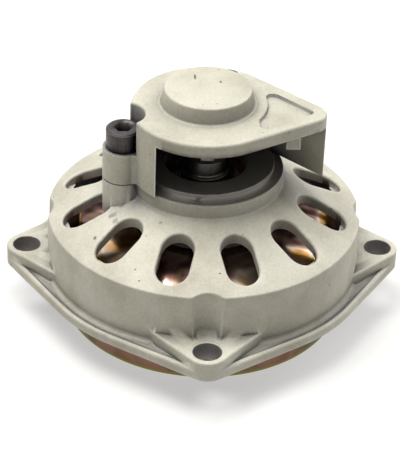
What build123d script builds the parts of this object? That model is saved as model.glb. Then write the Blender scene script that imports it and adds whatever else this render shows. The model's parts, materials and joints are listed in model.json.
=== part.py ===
from build123d import *
import math
import os

# A small engine's clutch bell: a steel drum turns on a shaft inside a cast housing, and a cast cover
# holds the shaft's upper bearing over the chain sprocket. Lengths are in millimetres. The origin is on
# the shaft's axis at the drum's open rim, on which the whole stands, and +Z points up through the cap.

# Clutch drum: a pressed steel cup, open downwards
drum_depth = 30.5
drum_radius = 43.5
drum_wall = 3.5
drum_web = 3.0
drum_outer_corner = 2.8
drum_inner_corner = 2.0
drum_rim_round = 0.8
drum_rim_chamfer = 0.5

# Housing skirt and dome
skirt_clearance = 1.0
skirt_wall = 3.7
skirt_draft = 1.2
rim_rise = 2.0
rim_round = 0.7
dome_angle = 25.2
dome_wall = 3.0
dome_inner_round = 4.0

# Mounting flange: a band with a beaded edge and four raised ear pads
flange_height = 12.5
flange_thickness = 2.9
flange_width = 4.1
flange_edge_round = 0.9
flange_bead_width = 0.6
flange_bead_height = 0.4
flange_root_step = 1.6
flange_root_round = 1.4
pad_rise = 3.4
pad_edge_round = 0.7
ear_count = 4
ear_reach = 6.8
ear_tip_radius = 6.2
ear_root_depth = 5.0
pad_half_angle = 41.0
mount_hole_radius = 4.3
mount_hole_chamfer = 0.3
scallop_foot_depth = 1.2
scallop_rim_depth = 1.7
scallop_blend = 2.0

# Radial slots through the dome
slot_count = 12
slot_width = 9.85
slot_collar_gap = 5.1
slot_rim_gap = 3.9
slot_first_angle = 15.0
slot_edge_round = 0.8
slot_end_flat = 0.05
rim_search_margin = 0.4

# Collar on the dome, with the spigot that centres the cover
collar_height = 4.7
collar_wall = 6.3
collar_edge_round = 0.35
collar_root_round = 0.8
collar_ledge = 2.8
spigot_height = 2.0
spigot_edge_round = 0.5
throat_lip = 5.0
throat_dish = 0.7
throat_chamfer = 0.4
boss_wall = 4.5
boss_foot_gap = 1.4

# Cover: a plate on a wall that is open to the front, where the chain leaves
cover_clearance = 0.2
cover_wall = 2.6
cover_inner_height = 17.5
plate_thickness = 4.1
plate_edge_round = 0.9
joint_edge_chamfer = 0.25
cover_back_inset = 1.4
front_bulge_inset = 0.8
front_bulge_x = -0.2
front_bulge_y = -2.7
tip_radius = 5.4
tip_reach = 6.2
tip_y = -5.3
tip_runout = 12.0
window_left_x = -15.5
window_back_y = -8.0
cap_wall = 3.3
cap_draft = 13.0
cap_rise = 5.1
cap_edge_round = 0.7
cap_foot_round = 0.8
cap_roof = 3.0
panel_depth = 1.0
panel_back_margin = 4.0
panel_inner_margin = 4.5
panel_corner_inset = 3.0
panel_top_y = 5.6
panel_front_margin = 2.4
panel_tip_margin = 4.0
panel_corner_round = 2.0
peg_width = 4.2
peg_depth = 3.0
peg_length = 4.0
peg_tip_inset = 4.8
peg_tip_drop = 6.6

# Cover screws and the lugs and bosses that take them
screw_angles = (195.1, 75.0)
screw_collar_gap = 2.2
screw_radius = 3.0
screw_length = 16.0
screw_head_radius = 5.2
screw_head_height = 6.5
screw_head_chamfer = 0.5
screw_socket_flats = 5.0
screw_socket_depth = 3.0
thread_clearance = 0.05
screw_hole_clearance = 0.3
tap_extra_depth = 1.0
lug_radius = 6.2
lug_height = 10.1
lug_web_turn = 15.0
lug_web_inset = 0.5
boss_web_width = 7.0
head_clearance = 1.3

# Lower ball bearing, 15 x 35 x 11, in the housing
lower_bore_radius = 7.5
lower_outer_radius = 17.5
lower_width = 11.0
lower_ball_radius = 2.975
lower_ball_count = 8
lower_shoulder_depth = 0.95
lower_seal_thickness = 1.0
lower_cage_wall = 1.5

# Upper ball bearing, 10 x 22 x 6, in the cover
upper_bore_radius = 5.0
upper_outer_radius = 11.0
upper_width = 6.0
upper_ball_radius = 1.5875
upper_ball_count = 9
upper_shoulder_depth = 0.55
upper_shield_thickness = 0.4
upper_cage_wall = 0.8
upper_seat_wall = 3.2
upper_seat_lip = 1.5
upper_seat_relief = 0.4
upper_relief_inset = 1.0

# Fits and details that both bearings share
seat_clearance = 0.02
race_clearance = 0.03
pocket_clearance = 0.06
seal_running_gap = 0.15
seal_inset = 0.3
cage_side_gap = 0.2
ring_chamfer = 0.5

# Circlips: one in the housing under the lower bearing, one on the shaft above it
bearing_clip_thickness = 1.5
bearing_clip_band = 2.6
bearing_clip_groove_depth = 1.1
shaft_clip_thickness = 1.0
shaft_clip_band = 1.9
shaft_clip_groove_depth = 0.5
clip_groove_clearance = 0.05
clip_opening_angle = 24.0
clip_lug_radius = 2.1
clip_eye_radius = 0.9
clip_lug_offset = 1.0
clip_lug_setback = 2.0

# Shaft, its flange riveted to the drum's web, and the sprocket on two flats
shaft_flange_thickness = 2.2
shaft_spigot_step = 1.5
shaft_shoulder_height = 2.2
shaft_shoulder_step = 2.0
shaft_land_length = 1.9
shaft_neck_step = 1.0
shaft_chamfer = 0.5
shaft_end_gap = 0.2
centre_drill_radius = 1.6
centre_drill_depth = 2.7
rivet_count = 6
rivet_spigot_gap = 2.8
rivet_rim_gap = 2.7
rivet_radius = 1.75
rivet_sink_radius = 2.5
rivet_head_radius = 2.7
rivet_head_height = 1.4
rivet_head_round = 1.0

# Chain sprocket: seven teeth of 8 mm pitch
sprocket_teeth = 7
chain_pitch = 8.0
chain_roller_radius = 2.5
roller_clearance = 0.05
tooth_thickness = 4.3
tooth_tip_radius = 10.9
tooth_gap_opening = 3.5
tooth_side_bevel = 0.7
tooth_bevel_height = 1.2
sprocket_hub_wall = 1.4
sprocket_hub_length = 3.3
sprocket_seat_rise = 3.7
sprocket_flat_depth = 0.8

# How far a cutter runs past the face that it opens
cut_margin = 1.0

# Radii that follow from the sizes above
cavity_radius = drum_radius + skirt_clearance
skirt_radius = cavity_radius + skirt_wall
flange_radius = skirt_radius + flange_width
ear_circle_radius = skirt_radius + ear_reach
collar_radius = lower_outer_radius + collar_wall
spigot_radius = collar_radius - collar_ledge
throat_radius = lower_outer_radius - throat_lip
slot_inner_radius = collar_radius + slot_collar_gap
slot_outer_radius = skirt_radius - slot_rim_gap
screw_circle_radius = collar_radius + screw_collar_gap
cover_back_radius = collar_radius - cover_back_inset
front_bulge_radius = collar_radius - front_bulge_inset
tip_x = collar_radius + tip_reach
panel_inner_radius = cover_back_radius - panel_inner_margin
panel_left_x = panel_inner_radius - panel_corner_inset
peg_x = tip_x - peg_tip_inset
peg_y = tip_y - peg_tip_drop
cap_radius = upper_outer_radius + cap_wall
shaft_spigot_radius = lower_bore_radius + shaft_spigot_step
shaft_shoulder_radius = lower_bore_radius + shaft_shoulder_step
shaft_neck_radius = upper_bore_radius + shaft_neck_step
rivet_circle_radius = shaft_spigot_radius + rivet_spigot_gap
shaft_flange_radius = rivet_circle_radius + rivet_rim_gap
sprocket_hub_radius = upper_bore_radius + sprocket_hub_wall
sprocket_flats = 2 * (upper_bore_radius - sprocket_flat_depth)
lower_pitch_radius = (lower_bore_radius + lower_outer_radius) / 2
upper_pitch_radius = (upper_bore_radius + upper_outer_radius) / 2
chain_pitch_radius = chain_pitch / 2 / math.sin(math.pi / sprocket_teeth)

# Heights that follow from the sizes above
skirt_slope = math.tan(math.radians(skirt_draft))
dome_slope = math.tan(math.radians(dome_angle))
dome_drop = dome_wall / math.cos(math.radians(dome_angle))
rim_height = drum_depth + rim_rise
band_top = flange_height + flange_thickness
pad_top = band_top + pad_rise
scallop_base = band_top + pad_rise / 2
joint_height = rim_height + (skirt_radius - collar_radius) * dome_slope + collar_height
spigot_top = joint_height + spigot_height
plate_underside = joint_height + cover_inner_height
plate_top = plate_underside + plate_thickness
cap_top = plate_top + cap_rise
lug_top = joint_height + lug_height

flange_top = drum_depth + shaft_flange_thickness
lower_bearing_base = flange_top + shaft_shoulder_height
lower_bearing_top = lower_bearing_base + lower_width
shaft_clip_top = lower_bearing_top + shaft_clip_thickness
land_top = lower_bearing_top + shaft_land_length
sprocket_seat = joint_height + sprocket_seat_rise
tooth_base = sprocket_seat + sprocket_hub_length
tooth_top = tooth_base + tooth_thickness
upper_bearing_top = cap_top - cap_roof - upper_seat_relief
upper_bearing_base = upper_bearing_top - upper_width
shaft_top = upper_bearing_top - shaft_end_gap
boss_foot = drum_depth + boss_foot_gap


def dome_height(radius):
    return rim_height + (skirt_radius - radius) * dome_slope


def turned(points, rounds=()):
    """Solid of revolution about Z from (radius, height) points; rounds holds (point number, radius)."""
    profile = make_face(Polyline(*points, close=True))
    for number, radius in rounds:
        corner = profile.vertices().sort_by_distance(Vector(*points[number]))[0]
        profile = fillet(corner, radius)
    return revolve(Plane.XZ * profile, Axis.Z)


def pillar(radius, base, top, x=0.0, y=0.0):
    """Upright cylinder between two heights."""
    return Pos(x, y, base) * Cylinder(radius, top - base, align=(Align.CENTER, Align.CENTER, Align.MIN))


def at_angle(angle, shape):
    return Rot(0, 0, angle) * shape


def around(count, shape, first=0.0):
    """Copies of a shape, evenly spaced about Z."""
    return [at_angle(first + 360.0 / count * number, shape) for number in range(count)]


def write(name, shape):
    export_step(shape, "parts/" + name + ".step")


def ear_outline():
    """Ear pad on +X: a round tip whose straight sides run in to the skirt."""
    lean = math.radians(pad_half_angle)
    tip_x_at_side = ear_circle_radius + ear_tip_radius * math.sin(lean)
    tip_y_at_side = ear_tip_radius * math.cos(lean)
    root_x = skirt_radius - ear_root_depth
    root_y = tip_y_at_side + (tip_x_at_side - root_x) * math.tan(lean)
    sides = Polygon(
        (root_x, -root_y),
        (tip_x_at_side, -tip_y_at_side),
        (tip_x_at_side, tip_y_at_side),
        (root_x, root_y),
        align=None,
    )
    return sides + Pos(ear_circle_radius, 0) * Circle(ear_tip_radius)


def flange_outline(margin=0.0):
    """Hull of the round flange and its ear tips, drawn in by a margin."""
    tips = around(ear_count, Pos(ear_circle_radius, 0) * Circle(ear_tip_radius - margin))
    edges = Circle(flange_radius - margin).edges()
    for tip in tips:
        edges += tip.edges()
    return make_hull(edges)


def flange_band():
    """Plate under the skirt, its edge rounded and followed by a low raised bead."""
    band = Pos(0, 0, flange_height) * extrude(flange_outline(), flange_thickness)
    band = fillet(band.faces().sort_by(Axis.Z)[-1].edges(), flange_edge_round)
    inside = flange_outline(flange_bead_width + flange_edge_round)
    shelf = Pos(0, 0, band_top - flange_bead_height) * extrude(inside, flange_bead_height)
    return band - shelf


def ear_pads():
    pad = Pos(0, 0, flange_height) * extrude(ear_outline(), pad_top - flange_height)
    pad = fillet(pad.faces().sort_by(Axis.Z)[-1].edges(), pad_edge_round)
    return around(ear_count, pad)


def ear_scallop():
    """Tapered hollow in the skirt over one ear, for the mounting screw's driver; it starts in the pad."""
    rise = rim_height - scallop_base
    foot = ear_circle_radius - skirt_radius - rise * skirt_slope + scallop_foot_depth
    rim = ear_circle_radius - skirt_radius + scallop_rim_depth
    above = cut_margin * (rim - foot) / rise
    cutter = Cone(foot, rim + above, rise + cut_margin, align=(Align.CENTER, Align.CENTER, Align.MIN))
    return Pos(ear_circle_radius, 0, scallop_base) * cutter


def is_scallop_side(edge):
    middle = edge @ 0.5
    upright = edge.bounding_box().size.Z > (rim_height - scallop_base) / 2
    return upright and math.hypot(middle.X, middle.Y) > skirt_radius - rim_round


def is_rim(edge):
    middle = edge @ 0.5
    near_rim = abs(middle.Z - rim_height) < rim_round
    return near_rim and math.hypot(middle.X, middle.Y) > skirt_radius - 2 * scallop_rim_depth


def housing_outside():
    foot_radius = skirt_radius + (rim_height - band_top) * skirt_slope
    root = foot_radius + flange_root_step
    shelf = band_top - flange_bead_height
    points = [
        (0, flange_height),
        (root, flange_height),
        (root, shelf),
        (foot_radius, shelf),
        (skirt_radius, rim_height),
        (collar_radius, dome_height(collar_radius)),
        (collar_radius, joint_height),
        (spigot_radius, joint_height),
        (spigot_radius, spigot_top),
        (throat_radius, spigot_top - throat_dish),
        (0, spigot_top - throat_dish),
    ]
    rounds = [
        (3, flange_root_round),
        (5, collar_root_round),
        (6, collar_edge_round),
        (8, spigot_edge_round),
    ]
    body = turned(points, rounds) - around(ear_count, ear_scallop())
    body = fillet(body.edges().filter_by(is_scallop_side), scallop_blend)
    return fillet(body.edges().filter_by(is_rim), rim_round)


def housing_inside():
    """Drum cavity, bearing seat and throat, as one turned cutter."""
    below = flange_height - cut_margin
    boss_radius = lower_outer_radius + boss_wall
    groove_base = lower_bearing_base - bearing_clip_thickness - clip_groove_clearance
    groove_radius = lower_outer_radius + bearing_clip_groove_depth
    boss_root = dome_height(boss_radius) - dome_drop
    skirt_root = dome_height(cavity_radius) - dome_drop
    cavity = turned(
        [
            (boss_radius, below),
            (cavity_radius, below),
            (cavity_radius, skirt_root),
            (boss_radius, boss_root),
        ],
        [(2, rim_round), (3, dome_inner_round)],
    )
    dish = Pos(0, 0, spigot_top - throat_dish - throat_chamfer) * Cone(
        throat_radius, throat_radius + 2 * throat_chamfer, 2 * throat_chamfer,
        align=(Align.CENTER, Align.CENTER, Align.MIN),
    )
    return (
        cavity
        + dish
        + pillar(boss_radius, below, boss_foot)
        + pillar(lower_outer_radius + seat_clearance, below, lower_bearing_top)
        + pillar(groove_radius, groove_base, lower_bearing_base)
        + pillar(throat_radius, lower_bearing_top, spigot_top)
    )


def screw_places():
    """Plan position and angle of each cover screw."""
    places = []
    for angle in screw_angles:
        turn = math.radians(angle)
        places.append((screw_circle_radius * math.cos(turn), screw_circle_radius * math.sin(turn), angle))
    return places


def screw_bosses():
    bosses = []
    foot = dome_height(screw_circle_radius + lug_radius) - dome_drop
    for x, y, angle in screw_places():
        web = Pos(spigot_radius, -boss_web_width / 2, foot) * Box(
            screw_circle_radius - spigot_radius, boss_web_width, joint_height - foot,
            align=(Align.MIN, Align.MIN, Align.MIN),
        )
        bosses += [pillar(lug_radius, foot, joint_height, x, y), at_angle(angle, web)]
    return bosses


def tapped_holes():
    end = lug_top - screw_length - tap_extra_depth
    radius = screw_radius + thread_clearance
    return [pillar(radius, end, spigot_top, x, y) for x, y, angle in screw_places()]


def slot_cutters():
    """Radial slots; their end rounds are limited by the slot's own length and width."""
    length = slot_outer_radius - slot_inner_radius
    end_round = min(length, slot_width) / 2 - slot_end_flat
    outline = RectangleRounded(length, slot_width, end_round)
    outline = Pos((slot_outer_radius + slot_inner_radius) / 2, 0) * outline
    cutter = Pos(0, 0, boss_foot) * extrude(outline, joint_height - boss_foot)
    return around(slot_count, cutter, slot_first_angle)


def slot_rims(body):
    """Outer edges of the slots: edges on the dome's cone and within the slots' span."""
    rims = []
    for edge in body.edges():
        middle = edge @ 0.5
        radius = math.hypot(middle.X, middle.Y)
        on_dome = abs(middle.Z - dome_height(radius)) < rim_search_margin
        in_span = slot_inner_radius - rim_search_margin < radius < slot_outer_radius + rim_search_margin
        if on_dome and in_span:
            rims.append(edge)
    return rims


def mount_hole():
    below = flange_height - cut_margin
    mouth = Cone(
        mount_hole_radius, mount_hole_radius + 2 * mount_hole_chamfer, 2 * mount_hole_chamfer,
        align=(Align.CENTER, Align.CENTER, Align.MIN),
    )
    hole = pillar(mount_hole_radius, below, pad_top + cut_margin, ear_circle_radius)
    return hole + Pos(ear_circle_radius, 0, pad_top - mount_hole_chamfer) * mouth


def housing():
    body = housing_outside() - slot_cutters()
    body = fillet(slot_rims(body), slot_edge_round)
    body += [flange_band()] + ear_pads() + screw_bosses()
    body -= [housing_inside()] + tapped_holes()
    return body - around(ear_count, mount_hole())


def cover_outline(margin=0.0):
    """Plan outline of the cover: the round back, the bulging front and the tip, drawn in by a margin."""
    back = Circle(cover_back_radius - margin)
    front = Pos(front_bulge_x, front_bulge_y) * Circle(front_bulge_radius - margin)
    tip = Pos(tip_x, tip_y) * Circle(tip_radius - margin)
    return make_hull(back.edges() + front.edges() + tip.edges())


def hollow_outline():
    """Room inside the wall. Its straight back runs on past the tip, where the wall ends thin."""
    reach = math.hypot(tip_x, tip_y)
    lean = math.atan2(tip_y, tip_x) + math.acos((cover_back_radius - tip_radius) / reach)
    past_x = tip_x + tip_runout * math.sin(lean)
    past_y = tip_y - tip_runout * math.cos(lean)
    back = Circle(cover_back_radius - cover_wall)
    front = Pos(front_bulge_x, front_bulge_y) * Circle(front_bulge_radius - cover_wall)
    past = Pos(past_x, past_y) * Circle(tip_radius - cover_wall)
    return make_hull(back.edges() + front.edges() + past.edges())


def panel_outline():
    """Recessed field towards the tip, with a border that is widest along the back edge."""
    back = Circle(cover_back_radius - panel_back_margin)
    front = Pos(front_bulge_x, front_bulge_y) * Circle(front_bulge_radius - panel_front_margin)
    tip = Pos(tip_x, tip_y) * Circle(tip_radius - panel_tip_margin)
    field = make_hull(back.edges() + front.edges() + tip.edges())
    field -= Circle(panel_inner_radius)
    field &= Pos(panel_left_x, panel_top_y) * Rectangle(
        2 * (tip_x - panel_left_x), 2 * collar_radius, align=(Align.MIN, Align.MAX)
    )
    corners = field.vertices().filter_by(lambda v: v.X < tip_x - tip_radius)
    return fillet(corners, panel_corner_round)


def cap():
    upper = cap_radius - cap_rise * math.tan(math.radians(cap_draft))
    root = cap_radius + 2 * cap_foot_round
    points = [
        (0, plate_underside),
        (root, plate_underside),
        (root, plate_top),
        (cap_radius, plate_top),
        (upper, cap_top),
        (0, cap_top),
    ]
    return turned(points, [(3, cap_foot_round), (4, cap_edge_round)])


def cover_screw_lugs():
    """Round lugs, each with a web nearly as wide that is turned off the radial line."""
    width = 2 * (lug_radius - lug_web_inset)
    lugs = []
    for x, y, angle in screw_places():
        reach = screw_collar_gap + cover_wall
        web = Box(reach, width, lug_height, align=(Align.MIN, Align.CENTER, Align.MIN))
        web = Pos(x, y, joint_height) * at_angle(angle + 180 - lug_web_turn, web)
        lugs += [pillar(lug_radius, joint_height, lug_top, x, y), web]
    return lugs


def sprocket_cover():
    body = Pos(0, 0, joint_height) * extrude(cover_outline(), plate_top - joint_height)
    hollow = Pos(0, 0, joint_height) * extrude(hollow_outline(), cover_inner_height)
    scallop = screw_head_radius + head_clearance
    for x, y, angle in screw_places():
        body -= pillar(scallop, lug_top, cap_top, x, y)
        hollow -= pillar(scallop + cover_wall, lug_top - cover_wall, plate_underside, x, y)
    body = fillet(body.faces().sort_by(Axis.Z)[-1].edges(), plate_edge_round)
    body += cover_screw_lugs()
    body = chamfer(body.faces().sort_by(Axis.Z)[0].outer_wire().edges(), joint_edge_chamfer)
    body -= hollow
    window = Pos(window_left_x, window_back_y, joint_height) * Box(
        tip_x + tip_radius * 2 - window_left_x, 2 * collar_radius, cover_inner_height,
        align=(Align.MIN, Align.MAX, Align.MIN),
    )
    body -= window
    seat_radius = upper_outer_radius + seat_clearance
    seat_mouth = upper_bearing_base - upper_seat_lip
    body += cap()
    body += pillar(upper_outer_radius + upper_seat_wall, seat_mouth, plate_top)
    body += Pos(peg_x, peg_y, plate_underside) * Box(
        peg_width, peg_depth, peg_length, align=(Align.CENTER, Align.CENTER, Align.MAX)
    )
    body -= pillar(seat_radius, seat_mouth, upper_bearing_top)
    relief_top = upper_bearing_top + upper_seat_relief
    body -= pillar(seat_radius - upper_relief_inset, upper_bearing_top, relief_top)
    body -= Pos(0, 0, plate_top - panel_depth) * extrude(panel_outline(), panel_depth + cut_margin)
    for x, y, angle in screw_places():
        body -= pillar(screw_radius + screw_hole_clearance, joint_height, lug_top, x, y)
    body -= pillar(spigot_radius + cover_clearance, joint_height, spigot_top + cover_clearance)
    return body


def cover_screw():
    """Socket head cap screw, its head's seat at height zero."""
    head = turned(
        [
            (0, 0),
            (screw_head_radius, 0),
            (screw_head_radius, screw_head_height - screw_head_chamfer),
            (screw_head_radius - screw_head_chamfer, screw_head_height),
            (0, screw_head_height),
        ]
    )
    shank = turned(
        [
            (0, 0),
            (screw_radius, 0),
            (screw_radius, screw_head_chamfer - screw_length),
            (screw_radius - screw_head_chamfer, -screw_length),
            (0, -screw_length),
        ]
    )
    hexagon = RegularPolygon(screw_socket_flats / 2, 6, major_radius=False)
    socket = Pos(0, 0, screw_head_height - screw_socket_depth) * extrude(hexagon, screw_socket_depth)
    return head + shank - socket


def cover_screws():
    return Compound(children=[Pos(x, y, lug_top) * cover_screw() for x, y, angle in screw_places()])


def clutch_drum():
    inner = drum_radius - drum_wall
    under_web = drum_depth - drum_web
    hub = shaft_spigot_radius + seat_clearance
    points = [
        (inner, 0),
        (drum_radius, 0),
        (drum_radius, drum_depth),
        (hub, drum_depth),
        (hub, under_web),
        (inner, under_web),
    ]
    rounds = [(0, drum_rim_chamfer), (1, drum_rim_round), (2, drum_outer_corner), (5, drum_inner_corner)]
    hole = pillar(rivet_radius + seat_clearance, under_web, drum_depth, rivet_circle_radius)
    return turned(points, rounds) - around(rivet_count, hole)


def drum_shaft():
    points = [
        (0, drum_depth - drum_web),
        (shaft_spigot_radius, drum_depth - drum_web),
        (shaft_spigot_radius, drum_depth),
        (shaft_flange_radius, drum_depth),
        (shaft_flange_radius, flange_top),
        (shaft_shoulder_radius, flange_top),
        (shaft_shoulder_radius, lower_bearing_base),
        (lower_bore_radius, lower_bearing_base),
        (lower_bore_radius, lower_bearing_top),
        (lower_bore_radius - shaft_clip_groove_depth, lower_bearing_top),
        (lower_bore_radius - shaft_clip_groove_depth, shaft_clip_top + clip_groove_clearance),
        (lower_bore_radius, shaft_clip_top + clip_groove_clearance),
        (lower_bore_radius, land_top - shaft_chamfer),
        (lower_bore_radius - shaft_chamfer, land_top),
        (shaft_neck_radius, land_top),
        (shaft_neck_radius, sprocket_seat),
        (upper_bore_radius, sprocket_seat),
        (upper_bore_radius, shaft_top - shaft_chamfer),
        (upper_bore_radius - shaft_chamfer, shaft_top),
        (0, shaft_top),
    ]
    flats = Pos(0, 0, sprocket_seat) * extrude(
        Circle(upper_bore_radius) - Rectangle(sprocket_flats, upper_bore_radius * 2),
        upper_bearing_base - sprocket_seat,
    )
    centre = Pos(0, 0, drum_depth - drum_web) * Cone(
        centre_drill_radius, 0, centre_drill_depth, align=(Align.CENTER, Align.CENTER, Align.MIN)
    )
    body = turned(points) - flats - centre
    sink_depth = rivet_sink_radius - rivet_radius
    sink = pillar(rivet_radius + seat_clearance, drum_depth, flange_top, rivet_circle_radius)
    sink += Pos(rivet_circle_radius, 0, flange_top - sink_depth) * Cone(
        rivet_radius + seat_clearance, rivet_sink_radius + seat_clearance, sink_depth,
        align=(Align.CENTER, Align.CENTER, Align.MIN),
    )
    return body - around(rivet_count, sink)


def hub_rivets():
    under_web = drum_depth - drum_web
    sink_depth = rivet_sink_radius - rivet_radius
    points = [
        (0, under_web - rivet_head_height),
        (rivet_head_radius, under_web - rivet_head_height),
        (rivet_head_radius, under_web),
        (rivet_radius, under_web),
        (rivet_radius, flange_top - sink_depth),
        (rivet_sink_radius, flange_top),
        (0, flange_top),
    ]
    rivet = Pos(rivet_circle_radius, 0) * turned(points, [(1, rivet_head_round)])
    return Compound(children=around(rivet_count, rivet))


def tooth_gap():
    """Seat of one chain roller, opening outwards."""
    seat = Circle(chain_roller_radius + roller_clearance)
    rise = tooth_tip_radius - chain_pitch_radius + cut_margin
    mouth = Polygon(
        (0, -chain_roller_radius),
        (rise, -tooth_gap_opening),
        (rise, tooth_gap_opening),
        (0, chain_roller_radius),
        align=None,
    )
    return Pos(chain_pitch_radius, 0) * (seat + mouth)


def drive_sprocket():
    first_gap = -90.0 + 180.0 / sprocket_teeth
    wheel = Circle(tooth_tip_radius) - around(sprocket_teeth, tooth_gap(), first_gap)
    blank = turned(
        [
            (0, tooth_base),
            (tooth_tip_radius - tooth_bevel_height, tooth_base),
            (tooth_tip_radius, tooth_base + tooth_side_bevel),
            (tooth_tip_radius, tooth_top - tooth_side_bevel),
            (tooth_tip_radius - tooth_bevel_height, tooth_top),
            (0, tooth_top),
        ]
    )
    body = (Pos(0, 0, tooth_base) * extrude(wheel, tooth_thickness)) & blank
    body += pillar(sprocket_hub_radius, sprocket_seat, upper_bearing_base)
    bore = Circle(upper_bore_radius + seat_clearance) & Rectangle(
        sprocket_flats + 2 * seat_clearance, 4 * upper_bore_radius
    )
    return body - Pos(0, 0, sprocket_seat) * extrude(bore, upper_bearing_base - sprocket_seat)


def circlip(inner, outer, thickness, lug_side):
    """Open ring with an eyed lug at each end; lug_side is -1 for lugs inwards and 1 for outwards."""
    edge = outer if lug_side > 0 else inner
    lug_x = edge + lug_side * clip_lug_offset
    half = math.radians(clip_opening_angle / 2)
    ring = Circle(outer) - Circle(inner)
    far = outer * 2
    ring -= Polygon(
        (0, 0), (far, far * math.tan(half)), (far, -far * math.tan(half)),
        align=None,
    )
    lug_turn = math.degrees(half + clip_lug_setback / lug_x)
    for side in (-1, 1):
        place = Rot(0, 0, side * lug_turn) * Pos(lug_x, 0)
        ring += place * Circle(clip_lug_radius)
        ring -= place * Circle(clip_eye_radius)
    return extrude(ring, thickness)


def bearing_circlip():
    outer = lower_outer_radius + bearing_clip_groove_depth - clip_groove_clearance
    ring = circlip(lower_outer_radius - bearing_clip_band + bearing_clip_groove_depth, outer,
                   bearing_clip_thickness, -1)
    return Pos(0, 0, lower_bearing_base - bearing_clip_thickness) * at_angle(90, ring)


def shaft_circlip():
    inner = lower_bore_radius - shaft_clip_groove_depth + clip_groove_clearance
    ring = circlip(inner, inner + shaft_clip_band, shaft_clip_thickness, 1)
    return Pos(0, 0, lower_bearing_top) * at_angle(200, ring)


def ball_bearing(name, base, bore, outer, width, ball, count, pitch, shoulder, cage_wall, seal, seal_name):
    """Writes a closed deep-groove bearing's rings, balls, cage and its two seals or shields."""
    groove = ball + race_clearance
    middle = base + width / 2
    inner_land = pitch - groove + shoulder
    outer_land = pitch + groove - shoulder
    torus = Pos(0, 0, middle) * Torus(pitch, groove)
    outer_ring = pillar(outer, base, base + width) - pillar(outer_land, base, base + width)
    outer_ring = chamfer(outer_ring.faces().sort_by(SortBy.AREA)[-1].edges(), ring_chamfer)
    inner_ring = pillar(inner_land, base, base + width) - pillar(bore + seat_clearance, base, base + width)
    write(name + "_outer_ring", outer_ring - torus)
    write(name + "_inner_ring", inner_ring - torus)
    balls = around(count, Pos(pitch, 0, middle) * Sphere(ball))
    write(name + "_balls", Compound(children=balls))
    cage_height = width - 2 * (seal_inset + seal + cage_side_gap)
    cage = pillar(pitch + cage_wall / 2, middle - cage_height / 2, middle + cage_height / 2)
    cage -= pillar(pitch - cage_wall / 2, middle - cage_height / 2, middle + cage_height / 2)
    pocket = Cylinder(ball + pocket_clearance, 2 * ball)
    cage -= around(count, Pos(pitch, 0, middle) * Rot(0, 90, 0) * pocket)
    write(name + "_cage", cage)
    for side, low in (("_bottom_", base + seal_inset), ("_top_", base + width - seal_inset - seal)):
        disc = pillar(outer_land, low, low + seal) - pillar(inner_land + seal_running_gap, low, low + seal)
        write(name + side + seal_name, disc)


os.makedirs("parts", exist_ok=True)
write("housing", housing())
write("sprocket_cover", sprocket_cover())
write("cover_screws", cover_screws())
write("clutch_drum", clutch_drum())
write("drum_shaft", drum_shaft())
write("hub_rivets", hub_rivets())
write("drive_sprocket", drive_sprocket())
write("bearing_circlip", bearing_circlip())
write("shaft_circlip", shaft_circlip())
ball_bearing(
    "lower_bearing", lower_bearing_base, lower_bore_radius, lower_outer_radius, lower_width,
    lower_ball_radius, lower_ball_count, lower_pitch_radius, lower_shoulder_depth, lower_cage_wall,
    lower_seal_thickness, "seal",
)
ball_bearing(
    "upper_bearing", upper_bearing_base, upper_bore_radius, upper_outer_radius, upper_width,
    upper_ball_radius, upper_ball_count, upper_pitch_radius, upper_shoulder_depth, upper_cage_wall,
    upper_shield_thickness, "shield",
)
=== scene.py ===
import json
import math

import bpy
from mathutils import Matrix, Vector

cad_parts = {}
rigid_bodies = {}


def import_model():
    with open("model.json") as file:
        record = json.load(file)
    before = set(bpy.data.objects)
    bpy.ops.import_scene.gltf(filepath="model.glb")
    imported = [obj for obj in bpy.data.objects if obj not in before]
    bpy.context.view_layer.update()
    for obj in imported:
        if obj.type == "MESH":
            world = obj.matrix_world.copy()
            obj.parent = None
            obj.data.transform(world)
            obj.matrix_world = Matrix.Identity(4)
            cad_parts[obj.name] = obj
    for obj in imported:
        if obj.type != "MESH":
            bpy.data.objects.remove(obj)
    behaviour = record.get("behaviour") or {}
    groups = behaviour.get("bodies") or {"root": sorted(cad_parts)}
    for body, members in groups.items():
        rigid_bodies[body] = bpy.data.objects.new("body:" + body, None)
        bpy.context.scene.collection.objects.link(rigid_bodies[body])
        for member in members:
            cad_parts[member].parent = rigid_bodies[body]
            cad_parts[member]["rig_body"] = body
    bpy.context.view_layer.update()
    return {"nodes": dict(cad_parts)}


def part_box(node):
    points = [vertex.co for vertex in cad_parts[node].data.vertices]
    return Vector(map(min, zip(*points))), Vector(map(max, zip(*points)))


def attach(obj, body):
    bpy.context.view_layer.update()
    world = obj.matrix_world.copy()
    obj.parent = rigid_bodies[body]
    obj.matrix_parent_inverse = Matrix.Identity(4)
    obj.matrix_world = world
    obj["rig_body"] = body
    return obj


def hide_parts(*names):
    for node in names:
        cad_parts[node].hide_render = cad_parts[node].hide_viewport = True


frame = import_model()

# Clutch drum. A cup pressed from thick steel sheet, its web sloping to the corner, turned true and
# then zinc plated and passivated yellow. The clutch's shoes have worn the bore to bare steel.


def linear(code):
    """Linear RGBA of an sRGB hex colour."""
    channels = [int(code[start:start + 2], 16) / 255 for start in (1, 3, 5)]
    return [c / 12.92 if c <= 0.04045 else ((c + 0.055) / 1.055) ** 2.4 for c in channels] + [1.0]


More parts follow.
